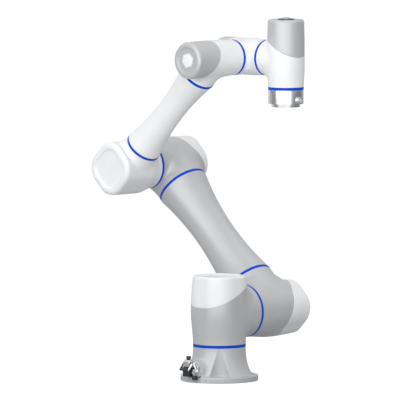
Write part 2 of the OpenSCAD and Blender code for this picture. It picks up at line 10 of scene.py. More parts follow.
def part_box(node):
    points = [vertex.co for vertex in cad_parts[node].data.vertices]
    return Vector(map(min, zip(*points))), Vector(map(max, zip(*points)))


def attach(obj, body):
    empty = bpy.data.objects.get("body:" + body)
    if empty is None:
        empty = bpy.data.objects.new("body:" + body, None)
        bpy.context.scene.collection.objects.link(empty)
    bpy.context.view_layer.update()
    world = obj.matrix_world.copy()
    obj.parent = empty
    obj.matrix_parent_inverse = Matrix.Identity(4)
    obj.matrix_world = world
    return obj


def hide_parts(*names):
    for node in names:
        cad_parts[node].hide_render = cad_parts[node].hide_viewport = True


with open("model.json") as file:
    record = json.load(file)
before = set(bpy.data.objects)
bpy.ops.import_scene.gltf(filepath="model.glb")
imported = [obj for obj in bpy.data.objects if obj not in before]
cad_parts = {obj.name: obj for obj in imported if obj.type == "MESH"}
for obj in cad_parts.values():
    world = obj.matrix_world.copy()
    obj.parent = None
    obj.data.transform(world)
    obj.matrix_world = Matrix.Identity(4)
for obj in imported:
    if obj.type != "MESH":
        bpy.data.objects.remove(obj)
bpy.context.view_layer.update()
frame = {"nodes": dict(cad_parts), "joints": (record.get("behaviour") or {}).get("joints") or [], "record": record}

# Smooth castings, finishes, camera and light for a six-axis collaborative robot arm.
# Shapes are worked out in millimetres in each housing's own frame: the origin is the housing's
# centre, -Z runs to its open joint end, +Z to its cap and +Y along its branch.

MM = 0.001
RING_W = 6.0
RUNNING_GAP = 0.4
QUAD = 1.5
CAP_SIDES = 176
LATHE_SIDES = 160
# A casting's lip, from the outside in: how far along the opening and how far inward
LIP = [(0.35, 0.35), (0.0, 2.4), (-3.0, 0.0)]
LIP_CHAMFER = LIP[0][0]
# A cap's lower lip: its wall, how far the wall stands up inside, the seam's gap and the chamfer
CAP_WALL = 3.1
CAP_INSIDE = 3.5
CAP_GAP = 0.12
CAP_CHAMFER = 0.4
CAP_ROWS = 26
# A tube's wall and how far it shows inside each end
TUBE_WALL = 3.5
TUBE_INSIDE = 3.0
TUBE_ROWS = 64
FILLET_STEPS = 6
# Half the step over which a field's slope is taken, and how near a plane counts as on it
PROBE = 0.02
ON_PLANE = 2e-3
# Angles in degrees: a CAD edge that is rounded, and edges that shade sharp
ROUNDED_OVER = 30
SHARP_CAD = 40
SHARP_TUBE = 50


# ---- Places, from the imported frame

def centre(node):
    """The middle of a CAD node's box, in millimetres."""
    low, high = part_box(node)
    return np.array((low + high) / 2) / MM


def joint_spot(name):
    """A joint's place, in millimetres."""
    found = [j for j in frame["joints"] if j["name"] == name]
    return np.array(found[0]["pos_m"]) / MM


def unit(v):
    return np.asarray(v, float) / np.linalg.norm(v)


def seat(origin, z_axis, y_axis):
    """Matrix from a local frame in millimetres to the row frame in metres."""
    z, y = unit(z_axis), unit(y_axis)
    m = np.eye(4)
    m[:3, 0] = np.cross(y, z) * MM
    m[:3, 1] = y * MM
    m[:3, 2] = z * MM
    m[:3, 3] = np.asarray(origin) * MM
    return m


SHOULDER = joint_spot("shoulder_lift")
ELBOW = joint_spot("elbow_bend")
WRIST = joint_spot("wrist_1_turn")
NODE_SLOT = {part["node"]: part["material_slot"] for part in frame["record"]["subparts"]}
NODE_BODY = {
    node: body for body, nodes in frame["record"]["behaviour"]["bodies"].items() for node in nodes}
UPPER_PLANE = centre("upper_arm_upper_ring")[1]
FORE_PLANE = centre("forearm_upper_ring")[1]
WRIST_1 = centre("j5_ring") * [0, 1, 1] + WRIST * [1, 0, 0]
WRIST_2 = centre("j6_ring") * [1, 1, 0] + centre("j5_ring") * [0, 0, 1]


# ---- Numbers and distance fields

def fade(t):
    """0 below 0, 1 above 1, smooth in between."""
    t = np.clip(t, 0, 1)
    return t * t * (3 - 2 * t)


def rounded_square(x, y, half, corner):
    """Signed distance to a square with round corners."""
    flat = half - corner
    dx, dy = np.abs(x) - flat, np.abs(y) - flat
    outside = np.hypot(np.maximum(dx, 0), np.maximum(dy, 0))
    return outside + np.minimum(np.maximum(dx, dy), 0) - corner


def soft_min(a, b, width):
    """The lower of two fields, rounded over where they are within width of each other."""
    width = np.maximum(width, 1e-6)
    near = np.maximum(width - np.abs(a - b), 0) / width
    return np.minimum(a, b) - near * near * width / 4


def soft_max(a, b, width):
    return -soft_min(-a, -b, width)


def slope_of(field, points):
    """The field's gradient at the points."""
    slope = np.empty_like(points)
    for axis in range(3):
        shift = np.zeros(3)
        shift[axis] = PROBE
        slope[:, axis] = (field(points + shift) - field(points - shift)) / (2 * PROBE)
    return slope


def settle(field, points, rounds, normal=None):
    """Moves points onto the field's zero level, within a plane if its normal is given."""
    for _ in range(rounds):
        slope = slope_of(field, points)
        if normal is not None:
            slope -= np.outer(slope @ normal, normal)
        size = np.maximum((slope * slope).sum(1), 1e-9)
        points = points - (field(points) / size)[:, None] * slope
    return points


def crossed_cells(inside):
    """One quad of cell numbers for each grid edge that the surface crosses."""
    cells = np.array(inside.shape) - 1
    quads = []
    for axis in range(3):
        b, c = (axis + 1) % 3, (axis + 2) % 3
        view = inside.transpose(axis, b, c)
        here, there = view[:-1, 1:-1, 1:-1], view[1:, 1:-1, 1:-1]
        for leaving in (True, False):
            spots = np.argwhere((here != there) & (here == leaving))
            turn = [(0, 0), (1, 0), (1, 1), (0, 1)]
            quad = []
            for db, dc in turn if leaving else turn[::-1]:
                cell = np.empty_like(spots)
                cell[:, axis], cell[:, b], cell[:, c] = spots[:, 0], spots[:, 1] + db, spots[:, 2] + dc
                quad.append(np.ravel_multi_index(cell.T, cells))
            quads.append(np.stack(quad, 1))
    return np.concatenate(quads), cells


def skin_of(field, low, high, step):
    """An even quad mesh of the field's zero level inside a box."""
    axes = [np.arange(a, b + step, step) for a, b in zip(low, high)]
    grid = np.stack(np.meshgrid(*axes, indexing="ij"), -1)
    inside = field(grid) < 0
    quads, cells = crossed_cells(inside)
    used, faces = np.unique(quads, return_inverse=True)
    faces = faces.reshape(-1, 4)
    spots = np.stack(np.unravel_index(used, cells), 1)
    points = np.array(low) + (spots + 0.5) * step
    points = settle(field, points, 6)
    for _ in range(6):
        points = settle(field, evened(points, faces), 2)
    return points, faces


def evened(points, faces):
    """Each point at the mean of its neighbours along the mesh's edges."""
    total, count = np.zeros_like(points), np.zeros(len(points))
    for side in range(4):
        a, b = faces[:, side], faces[:, (side + 1) % 4]
        for one, other in ((a, b), (b, a)):
            np.add.at(total, one, points[other])
            np.add.at(count, one, 1)
    return total / count[:, None]


# ---- Meshes

def make_object(name, points, faces, place):
    """A smooth mesh piece from local points, in the place of the CAD node of the same name."""
    mesh = bpy.data.meshes.new(name)
    world = points @ place[:3, :3].T + place[:3, 3]
    mesh.from_pydata(world.tolist(), [], [list(map(int, f)) for f in faces])
    mesh.validate()
    mesh.shade_smooth()
    return adopt(name, mesh)


def adopt(name, mesh):
    """A piece that rides, is finished and replaces like the CAD node of the same name."""
    piece = bpy.data.objects.new(name, mesh)
    bpy.context.scene.collection.objects.link(piece)
    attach(piece, NODE_BODY[name])
    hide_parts(name)
    piece.data.materials.append(FINISHES[NODE_SLOT[name]])
    return piece


def sharpen(piece, degrees):
    """Marks edges over an angle as sharp."""
    bm = bmesh.new()
    bm.from_mesh(piece.data)
    for edge in bm.edges:
        edge.smooth = len(edge.link_faces) < 2 or edge.calc_face_angle(0) < math.radians(degrees)
    bm.to_mesh(piece.data)
    bm.free()


def rows_to_faces(rows, sides, closed_top=False):
    """Quads between rings of points, each ring having as many points as sides."""
    faces = []
    for r in range(rows - 1):
        for i in range(sides):
            j = (i + 1) % sides
            faces.append((r * sides + i, r * sides + j, (r + 1) * sides + j, (r + 1) * sides + i))
    if closed_top:
        last = (rows - 1) * sides
        for i in range(sides):
            faces.append((last + i, last + (i + 1) % sides, rows * sides))
    return faces


def fillet(outline):
    """A polyline's points, with the corners of those given a third value rounded to that radius."""
    points = []
    for k, spot in enumerate(outline):
        p = np.array(spot[:2], float)
        if len(spot) < 3 or k in (0, len(outline) - 1):
            points.append(p)
            continue
        u = unit(np.array(outline[k - 1][:2]) - p)
        v = unit(np.array(outline[k + 1][:2]) - p)
        half = math.acos(np.clip(u @ v, -1, 1)) / 2
        reach = spot[2] / math.tan(half)
        middle = p + unit(u + v) * spot[2] / math.sin(half)
        start, end = p + u * reach - middle, p + v * reach - middle
        whole = math.acos(np.clip(unit(start) @ unit(end), -1, 1))
        for step in range(FILLET_STEPS + 1):
            t = step / FILLET_STEPS
            mix = start * math.sin((1 - t) * whole) + end * math.sin(t * whole)
            points.append(middle + mix / math.sin(whole))
    return points


def lathe(name, profile, place):
    """A turned piece about local Z from (radius, height) points."""
    turn = np.arange(LATHE_SIDES) * 2 * math.pi / LATHE_SIDES
    c, s = np.cos(turn), np.sin(turn)
    points = [np.stack([r * c, r * s, np.full_like(turn, z)], 1) for r, z in profile]
    faces = rows_to_faces(len(profile), LATHE_SIDES)
    piece = make_object(name, np.concatenate(points), faces, place)
    sharpen(piece, SHARP_TUBE)


def softened(node, width):
    """A CAD node's own shape with its hard edges rounded, in millimetres."""
    source = frame["nodes"][node].data
    mesh = bpy.data.meshes.new(node)
    mesh.from_pydata([v.co[:] for v in source.vertices], [], [p.vertices[:] for p in source.polygons])
    bm = bmesh.new()
    bm.from_mesh(mesh)
    bmesh.ops.remove_doubles(bm, verts=bm.verts, dist=1e-6)
    bmesh.ops.dissolve_limit(bm, angle_limit=math.radians(0.5), verts=bm.verts, edges=bm.edges)
    least = math.radians(ROUNDED_OVER)
    hard = [e for e in bm.edges if len(e.link_faces) == 2 and e.calc_face_angle(0) > least]
    bmesh.ops.bevel(
        bm, geom=hard, offset=width * MM, segments=3, profile=0.5, affect="EDGES", clamp_overlap=True)
    bm.to_mesh(mesh)
    bm.free()
    mesh.shade_smooth()
    piece = adopt(node, mesh)
    sharpen(piece, SHARP_CAD)
    return piece


# ---- Housings

class Housing:
    """A drum about Z with a branch along Y, blended, and a cap cut off by a slanted plane."""

    def __init__(self, origin, open_ring, branch_ring, open_gap, shape):
        self.place = seat(origin, origin - centre(open_ring), centre(branch_ring) - origin)
        self.low = -np.linalg.norm(origin - centre(open_ring)) + RING_W / 2 + open_gap
        self.out = np.linalg.norm(centre(branch_ring) - origin) - RING_W / 2
        self.__dict__.update(shape)

    def outline(self, z):
        """Half width and corner radius of the drum at height z."""
        grown = fade((z - self.low) / self.morph)
        half = self.ring_r + (self.half - self.ring_r) * grown
        corner = self.ring_r + (self.corner - self.ring_r) * grown
        narrowed = self.taper * np.clip((z - self.taper_from) / (self.top - self.taper_from), 0, 1) ** 1.6
        return half - narrowed, corner - narrowed

    def seam(self, y):
        return self.cut + self.rise * y

    def field(self, p):
        x, y, z = p[..., 0], p[..., 1], p[..., 2]
        drum = rounded_square(x, y, *self.outline(z))
        drum_r, branch_r = np.hypot(x, y) + 1e-9, np.hypot(x, z) + 1e-9
        branch = branch_r - self.port_r + 2 * np.maximum(-y, 0)
        same_way = np.clip(x * x / (drum_r * branch_r), 0, 1)
        room = fade((z - self.low) / self.low_fade) * fade((self.out - y) / self.out_fade)
        room = room * fade((self.seam(y) + self.seam_reach - z) / self.seam_fade)
        return soft_min(drum, branch, self.blend * room * (1 - same_way))

    def radius(self, turn, z):
        """Distance from the axis to the surface in each direction at each height."""
        direction = np.stack([np.cos(turn), np.sin(turn)], 1)
        r = np.full_like(turn, self.half * 1.1)
        for _ in range(9):
            near = self.field(np.column_stack([direction * (r - PROBE)[:, None], z]))
            far = self.field(np.column_stack([direction * (r + PROBE)[:, None], z]))
            r = r - (near + far) / 2 / np.maximum((far - near) / (2 * PROBE), 0.2)
        return r

    def build_housing(self, name):
        """The open casting: its blended skin, cut at both ends and at the cap's seam, with lips."""
        wide = max(self.half, self.port_r) + 4
        low = [-wide, -wide, self.low - 5]
        high = [wide, self.out + 5, self.seam(self.half) + 8]
        points, faces = skin_of(self.field, low, high, QUAD)
        seam_normal = unit([0, -self.rise, 1])
        cuts = [
            (np.array([0, 0, self.low]), np.array([0, 0, -1.0])),
            (np.array([0, self.out, 0]), np.array([0, 1.0, 0])),
            (np.array([0, 0, self.cut]), seam_normal),
        ]
        cut_shell(name, self.field, points, faces, cuts, self.place)

    def build_cap(self, name, end):
        """The cap: its side from the seam up, then its end from (inset, height, round) points."""
        turn = np.arange(CAP_SIDES) * 2 * math.pi / CAP_SIDES
        up = np.sin(turn)
        z = np.full(CAP_SIDES, self.cut)
        for _ in range(10):
            z = self.cut + self.rise * self.radius(turn, z) * up
        r = self.radius(turn, z)
        start = z + LIP_CHAMFER
        path = fillet(end)
        side_top = path[0][1]
        seam = z + CAP_GAP
        rows = [(r - CAP_WALL, z + CAP_INSIDE), (r - CAP_WALL, seam), (r - CAP_CHAMFER, seam)]
        for share in np.linspace(0, 1, CAP_ROWS):
            level = start + (side_top - start) * share
            rows.append((self.radius(turn, level), level))
        half, corner = self.outline(side_top)
        for inset, level in path[1:]:
            rows.append((ray_square(turn, half - inset, corner - inset), np.full(CAP_SIDES, level)))
        floor_r, floor_z = rows[-1]
        for share in (0.85, 0.6, 0.35, 0.12):
            rows.append((floor_r * share, floor_z))
        points = [np.column_stack([a * np.cos(turn), a * np.sin(turn), b]) for a, b in rows]
        points.append(np.array([[0, 0, floor_z[0]]]))
        faces = rows_to_faces(len(rows), CAP_SIDES, True)
        piece = make_object(name, np.concatenate(points), faces, self.place)
        mark_rows_sharp(piece, CAP_SIDES, (1, 2))


def ray_square(turn, half, corner):
    """Distance from the centre to a round-cornered square's outline in each direction."""
    corner = max(corner, 2.0)
    c, s = np.abs(np.cos(turn)), np.abs(np.sin(turn))
    flat = half - corner
    round_r = flat * (c + s) + np.sqrt(np.maximum(corner**2 - flat**2 * (c - s) ** 2, 0))
    wide, tall = np.maximum(c, s), np.minimum(c, s)
    return np.where(tall * half / wide <= flat, half / wide, round_r)


def mark_rows_sharp(piece, sides, rows):
    """Marks the edges along some of a ringed mesh's rows as sharp."""
    bm = bmesh.new()
    bm.from_mesh(piece.data)
    bm.verts.ensure_lookup_table()
    for edge in bm.edges:
        a, b = (v.index // sides for v in edge.verts)
        if a == b and a in rows:
            edge.smooth = False
    bm.to_mesh(piece.data)
    bm.free()


def cut_shell(name, field, points, faces, cuts, place):
    """A skin cut by planes, each cut edge given a lip that turns inward."""
    bm = skin_bmesh(points, faces)
    for spot, normal in cuts:
        cut_off(bm, spot - normal * LIP_CHAMFER, normal)
    skin_faces = bm.faces.layers.int.new("skin")
    for face in bm.faces:
        face[skin_faces] = 1
    for spot, normal in cuts:
        add_lip(bm, field, Vector(spot - normal * LIP_CHAMFER), Vector(normal))
    place_skin(name, bm, field, place, [f[skin_faces] for f in bm.faces])


def skin_bmesh(points, faces):
    bm = bmesh.new()
    verts = [bm.verts.new(p) for p in points]
    for face in faces:
        bm.faces.new([verts[i] for i in face])
    return bm


def cut_off(bm, spot, normal):
    """Removes what lies beyond a plane."""
    bmesh.ops.bisect_plane(
        bm, geom=bm.verts[:] + bm.edges[:] + bm.faces[:], dist=1e-5,
        plane_co=spot, plane_no=normal, clear_outer=True)


def place_skin(name, bm, field, place, skin_flags):
    """Turns a local skin into its piece, with the flagged faces shaded by their field."""
    bm.verts.ensure_lookup_table()
    local = np.array([v.co[:] for v in bm.verts])
    bmesh.ops.transform(bm, matrix=Matrix(place.tolist()), verts=bm.verts)
    mesh = bpy.data.meshes.new(name)
    bm.to_mesh(mesh)
    bm.free()
    mesh.shade_smooth()
    set_normals(mesh, field, local, place, skin_flags)
    adopt(name, mesh)


def add_lip(bm, field, spot, normal):
    """Turns one cut edge inward as a small chamfer, the wall's edge and a short inner wall."""
    edges = [e for e in bm.edges if e.is_boundary]
    rim = [e for e in edges if all(abs((v.co - spot).dot(normal)) < ON_PLANE for v in e.verts)]
    ring = list({v for e in rim for v in e.verts})
    flat = np.array(normal)
    where = settle(field, np.array([v.co[:] for v in ring]), 4, flat)
    for vert, p in zip(ring, where):
        vert.co = p
    for along, inward in LIP:
        ring = list({v for e in rim for v in e.verts})
        at = np.array([v.co[:] for v in ring])
        slope = slope_of(field, at)
        slope -= np.outer(slope @ flat, flat)
        slope /= np.linalg.norm(slope, axis=1)[:, None]
        moved = {v: Vector(p + flat * along - s * inward) for v, p, s in zip(ring, at, slope)}
        made = bmesh.ops.extrude_edge_only(bm, edges=rim)["geom"]
        new_verts = {v for v in made if isinstance(v, bmesh.types.BMVert)}
        edges = [e for e in made if isinstance(e, bmesh.types.BMEdge)]
        rim = [e for e in edges if all(v in new_verts for v in e.verts)]
        spots = {tuple(round(c, 5) for c in v.co): p for v, p in moved.items()}
        for vert in new_verts:
            vert.co = spots[tuple(round(c, 5) for c in vert.co)]


def set_normals(mesh, field, local, place, skin_flags):
    """Shades the flagged faces by the field's own slope, and the rest by their faces."""
    slope = slope_of(field, local)
    world = slope @ (place[:3, :3].T / MM)
    world /= np.linalg.norm(world, axis=1)[:, None]
    normals = []
    for polygon, on_skin in zip(mesh.polygons, skin_flags):
        for index in polygon.vertices:
            normals.append(world[index].tolist() if on_skin else (0.0, 0.0, 0.0))
    mesh.normals_split_custom_set(normals)


# ---- Finishes

def new_material(name):
    material = bpy.data.materials.new(name)
    material.use_nodes = True
    tree = material.node_tree
    return material, tree, tree.nodes["Principled BSDF"]


def noise(tree, scale, detail, stretch=(1, 1, 1)):
    """Noise over the piece's own coordinates; scale is in repeats per metre."""
    coords = tree.nodes.new("ShaderNodeTexCoord")
    mapping = tree.nodes.new("ShaderNodeMapping")
    mapping.inputs["Scale"].default_value = stretch
    texture = tree.nodes.new("ShaderNodeTexNoise")
    texture.inputs["Scale"].default_value = scale
    texture.inputs["Detail"].default_value = detail
    tree.links.new(coords.outputs["Object"], mapping.inputs["Vector"])
    tree.links.new(mapping.outputs["Vector"], texture.inputs["Vector"])
    return texture.outputs["Fac"]


# The part of a noise's range over which its colours change
NOISE_LOW = 0.35
NOISE_HIGH = 0.65


def ramp(tree, source, low, high):
    """One colour where the source is low, another where it is high."""
    node = tree.nodes.new("ShaderNodeValToRGB")
    node.color_ramp.elements[0].position = NOISE_LOW
    node.color_ramp.elements[1].position = NOISE_HIGH
    node.color_ramp.elements[0].color = (*low, 1)
    node.color_ramp.elements[1].color = (*high, 1)
    tree.links.new(source, node.inputs["Fac"])
    return node.outputs["Color"]


def spread(tree, source, low, high):
    """The source's range from 0 to 1, stretched from low to high."""
    node = tree.nodes.new("ShaderNodeMapRange")
    node.inputs["To Min"].default_value = low
    node.inputs["To Max"].default_value = high
    tree.links.new(source, node.inputs["Value"])
    return node.outputs["Result"]


def bump(tree, shader, source, strength, distance):
    node = tree.nodes.new("ShaderNodeBump")
    node.inputs["Strength"].default_value = strength
    node.inputs["Distance"].default_value = distance
    tree.links.new(source, node.inputs["Height"])
    tree.links.new(node.outputs["Normal"], shader.inputs["Normal"])


def shaded(colour, amount):
    return tuple(c * amount for c in colour)


def paint(name, colour, rough, coat, metallic):
    """Sprayed casting paint: faint mottling, uneven gloss and a fine orange peel."""
    material, tree, shader = new_material(name)
    speckle = noise(tree, scale=30, detail=2)
    mottle = ramp(tree, speckle, shaded(colour, 0.985), shaded(colour, 1.01))
    tree.links.new(mottle, shader.inputs["Base Color"])
    gloss = spread(tree, noise(tree, scale=70, detail=2), rough - 0.02, rough + 0.02)
    tree.links.new(gloss, shader.inputs["Roughness"])
    shader.inputs["Metallic"].default_value = metallic
    shader.inputs["Coat Weight"].default_value = coat
    shader.inputs["Coat Roughness"].default_value = 0.2
    bump(tree, shader, noise(tree, scale=900, detail=1), strength=0.012, distance=0.0002)
    return material


def gloss_plastic(name, colour, rough, specular=0.5):
    """Moulded plastic with faint flow marks."""
    material, tree, shader = new_material(name)
    shader.inputs["Specular IOR Level"].default_value = specular
    flow = ramp(tree, noise(tree, scale=60, detail=3), shaded(colour, 0.93), shaded(colour, 1.05))
    tree.links.new(flow, shader.inputs["Base Color"])
    gloss = spread(tree, noise(tree, scale=140, detail=2), rough - 0.03, rough + 0.04)
    tree.links.new(gloss, shader.inputs["Roughness"])
    bump(tree, shader, noise(tree, scale=900, detail=2), strength=0.04, distance=0.0002)
    return material


def grained(name, colour, rough, grain):
    """Textured dark plastic or rubber."""
    material, tree, shader = new_material(name)
    tone = ramp(tree, noise(tree, scale=200, detail=4), shaded(colour, 0.8), shaded(colour, 1.25))
    tree.links.new(tone, shader.inputs["Base Color"])
    gloss = spread(tree, noise(tree, scale=400, detail=2), rough - 0.06, rough + 0.06)
    tree.links.new(gloss, shader.inputs["Roughness"])
    bump(tree, shader, noise(tree, scale=grain, detail=2), strength=0.25, distance=0.0003)
    return material


def machined(name, colour, rough, stretch=(1, 1, 14)):
    """Bare turned or brushed metal with fine tool lines."""
    material, tree, shader = new_material(name)
    shader.inputs["Metallic"].default_value = 1.0
    lines = noise(tree, scale=260, detail=3, stretch=stretch)
    tone = ramp(tree, lines, shaded(colour, 0.92), shaded(colour, 1.04))
    tree.links.new(tone, shader.inputs["Base Color"])
    tree.links.new(spread(tree, lines, rough - 0.04, rough + 0.06), shader.inputs["Roughness"])
    bump(tree, shader, lines, strength=0.05, distance=0.0002)
    return material


FINISHES = {
    "paint_grey": paint("grey_paint", (0.6, 0.603, 0.607), rough=0.32, coat=0.15, metallic=0.22),
    "paint_white": paint("white_paint", (0.93, 0.935, 0.94), rough=0.32, coat=0.15, metallic=0.0),
    "ring_blue": gloss_plastic("blue_ring", (0.0, 0.075, 0.66), rough=0.4, specular=0.1),
    "drive_steel": machined("drive_steel", (0.5, 0.51, 0.53), rough=0.34),
    "rotor_copper": machined("rotor_copper", (0.6, 0.38, 0.26), rough=0.38),
    "flange_alloy": machined("flange_alloy", (0.86, 0.87, 0.88), rough=0.14),
    "connector_metal": machined("connector_metal", (0.86, 0.87, 0.9), rough=0.12, stretch=(1, 1, 1)),
    "black_plastic": grained("black_plastic", (0.03, 0.031, 0.033), rough=0.5, grain=1800),
    "cable_black": grained("cable_rubber", (0.02, 0.02, 0.02), rough=0.6, grain=1200),
    "button_grey": gloss_plastic("button_grey", (0.52, 0.53, 0.54), rough=0.34),
}


def finish_cad_nodes():
    """Gives every carried-over CAD node its slot's finish."""
    for part in frame["record"]["subparts"]:
        mesh = frame["nodes"][part["node"]].data
        mesh.materials.clear()
        mesh.materials.append(FINISHES[part["material_slot"]])


# ---- The arm's castings

# A drum is ring_r round at its open end, turns over the height morph into a square of this half
# width and corner radius, narrows by taper above taper_from, and ends at top. Its cap begins at a
# plane at height cut that rises along the branch, whose radius is port_r. blend rounds the inner
# corner between drum and branch; it fades out over low_fade, out_fade and seam_fade towards the
# drum's open end, the branch's end and the seam, seam_reach past the seam.
UPPER_TUBE_R = 57.5
UPPER_WAIST_R = 42.8
FORE_TUBE_R = 40.4
FORE_WAIST_R = 29.3
BIG = dict(
    ring_r=58, half=58, corner=46.6, morph=70, taper=4.6, taper_from=10, top=83, cut=42.3, rise=0.48,
    port_r=58, blend=42, low_fade=34, out_fade=20, seam_reach=16, seam_fade=42)
UPPER_ELBOW = dict(
    ring_r=50, half=56, corner=46, morph=42, taper=1.5, taper_from=20, top=71, cut=36, rise=0.48,
    port_r=UPPER_TUBE_R, blend=36, low_fade=30, out_fade=16, seam_reach=14, seam_fade=40)
FORE_ELBOW = dict(
    ring_r=50, half=54, corner=42, morph=40, taper=1.0, taper_from=20, top=60, cut=24, rise=0.48,
    port_r=FORE_TUBE_R, blend=34, low_fade=30, out_fade=18, seam_reach=10, seam_fade=34)
SMALL = dict(
    ring_r=39.2, half=40.8, corner=40.0, morph=40, taper=0.8, taper_from=30, top=74.5, cut=28, rise=0.58,
    port_r=39.2, blend=28, low_fade=26, out_fade=12, seam_reach=10, seam_fade=30)
FORE_WRIST = {**SMALL, "port_r": 39.8}
FIRST_WRIST = {**SMALL, "top": 75}
SECOND_WRIST = {**SMALL, "top": 86.7, "taper": 1.2}


def square_end(top, edge, rim, depth, wall):
    """A cap's end with a rounded edge, a rim and a sunk square panel: (inset, height, round)."""
    return [
        (0, top - edge - 2), (0, top, edge), (rim, top, 1.6), (rim + wall, top - depth, 1.2),
        (rim + wall + 5, top - depth)]


def round_end(top):
    """A wrist cap's end: broad rounded edge, bevelled ring and a sunk round face."""
    return [(0, top - 10), (0, top, 7.5), (11.0, top, 0.9), (13.2, top - 4.2, 0.9), (18, top - 4.2)]


def panel_end(top):
    """The last cap's end: rounded edge, flat face and the well of the button's panel."""
    return [(0, top - 8), (0, top, 5.5), (21.0, top, 0.6), (21.6, top - 3.4), (22, top - 3.4)]


def build_shoulder():
    ring = centre("j1_ring")
    origin = np.array([ring[0], ring[1], SHOULDER[2]])
    housing = Housing(origin, "j1_ring", "j2_ring", RUNNING_GAP, BIG)
    housing.build_housing("shoulder_housing")
    housing.build_cap("shoulder_cap", square_end(housing.top, edge=5.5, rim=10, depth=2.6, wall=3.4))


def build_upper_arm_low():
    origin = np.array([SHOULDER[0], UPPER_PLANE, SHOULDER[2]])
    shape = {**BIG, "port_r": UPPER_TUBE_R}
    housing = Housing(origin, "j2_ring", "upper_arm_lower_ring", RUNNING_GAP, shape)
    housing.build_housing("upper_arm_lower_housing")
    end = square_end(housing.top, edge=6.5, rim=10, depth=2.6, wall=3.4)
    housing.build_cap("upper_arm_lower_cap", end)


def build_upper_arm_elbow():
    origin = np.array([ELBOW[0], UPPER_PLANE, ELBOW[2]])
    housing = Housing(origin, "j3_ring", "upper_arm_upper_ring", 0, UPPER_ELBOW)
    housing.build_housing("upper_arm_elbow_housing")
    end = square_end(housing.top, edge=7, rim=11, depth=2.2, wall=3.6)
    housing.build_cap("upper_arm_elbow_cap", end)


def build_forearm_elbow():
    origin = np.array([ELBOW[0], FORE_PLANE, ELBOW[2]])
    housing = Housing(origin, "j3_ring", "forearm_lower_ring", RUNNING_GAP, FORE_ELBOW)
    housing.build_housing("forearm_elbow_housing")
    end = square_end(housing.top, edge=9, rim=14, depth=4.6, wall=3.0)
    housing.build_cap("forearm_elbow_cap", end)


def build_forearm_wrist():
    origin = np.array([WRIST[0], FORE_PLANE, WRIST[2]])
    housing = Housing(origin, "j4_ring", "forearm_upper_ring", RUNNING_GAP, FORE_WRIST)
    housing.build_housing("forearm_wrist_housing")
    housing.build_cap("forearm_wrist_cap", round_end(housing.top))


def build_first_wrist():
    housing = Housing(WRIST_1, "j5_ring", "j4_ring", RUNNING_GAP, FIRST_WRIST)
    housing.build_housing("wrist_1_housing")
    housing.build_cap("wrist_1_cap", round_end(housing.top))


def build_second_wrist():
    housing = Housing(WRIST_2, "j6_ring", "j5_ring", RUNNING_GAP, SECOND_WRIST)
    housing.build_housing("wrist_2_housing")
    housing.build_cap("wrist_2_cap", panel_end(housing.top))


def waist_profile(length, end_r, waist_r):
    """Outer profile of an arm tube: one arc that narrows to a waist, with lips at both ends."""
    sag = end_r - waist_r
    arc_r = ((length / 2) ** 2 + sag**2) / (2 * sag)
    lip_r, bore_r = end_r - LIP_CHAMFER, end_r - TUBE_WALL
    points = [(bore_r, TUBE_INSIDE), (bore_r, 0), (lip_r, 0)]
    for z in np.linspace(LIP_CHAMFER, length - LIP_CHAMFER, TUBE_ROWS):
        r = waist_r + arc_r - math.sqrt(arc_r**2 - (z - length / 2) ** 2)
        points.append((r, z))
    points += [(lip_r, length), (bore_r, length), (bore_r, length - TUBE_INSIDE)]
    return points


def build_tube(name, low_ring, high_ring, end_r, waist_r):
    start, end = centre(low_ring), centre(high_ring)
    up = unit(end - start)
    length = np.linalg.norm(end - start) - RING_W
    lathe(name, waist_profile(length, end_r, waist_r), seat(start + up * RING_W / 2, up, [0, 1, 0]))


# ---- Base

BASE_TOP = centre("j1_ring")[2] - RING_W / 2
BASE_BORE_R = 50.0
NECK_R = 58.0
FLARE_R = 120.0
FLANGE_R = 85.0
FLANGE_T = 12.5
# The connector boss: an arch that stands out in front of the pedestal
ARCH_Z = 24.0
ARCH_R = 23.0
BOSS_FRONT = 78.0
# Over each flange bolt a scallop is cut into the pedestal
BOLT_AT = 71.5
BOLT_R = 4.5
SCALLOP_AT = 82.5
SCALLOP_R = 25.5
BASE_SKIN_TOP = 81


def bolt_corners():
    """The directions of the four flange bolts."""
    return [math.radians(45 + 90 * quarter) for quarter in range(4)]


def base_field(p):
    """Flared pedestal with a round flange, four bolt scallops and the connector boss."""
    x, y, z = p[..., 0], p[..., 1], p[..., 2]
    r = np.hypot(x, y)
    down = np.clip(BASE_TOP - z, 0, BASE_TOP)
    flare = (r - (NECK_R + FLARE_R - np.sqrt(FLARE_R**2 - down**2))) * 0.85
    flange = soft_max(r - FLANGE_R, z - FLANGE_T, 3.0)
    arch = np.where(z > ARCH_Z, np.hypot(x, z - ARCH_Z), np.abs(x)) - ARCH_R
    boss = soft_max(np.maximum(arch, y), -BOSS_FRONT - y, 3.0)
    body = soft_min(flare, boss, 9.0 * fade((BASE_TOP - z) / 14))
    for a in bolt_corners():
        across = np.hypot(x - SCALLOP_AT * math.cos(a), y - SCALLOP_AT * math.sin(a))
        body = soft_max(body, SCALLOP_R - across, 0.6)
    body = soft_min(body, flange, 3.0)
    for a in bolt_corners():
        across = np.hypot(x - BOLT_AT * math.cos(a), y - BOLT_AT * math.sin(a))
        body = soft_max(body, BOLT_R - across, 0.8)
    body = soft_max(body, BASE_BORE_R - r, 1.0)
    return soft_max(body, -z, 1.6)


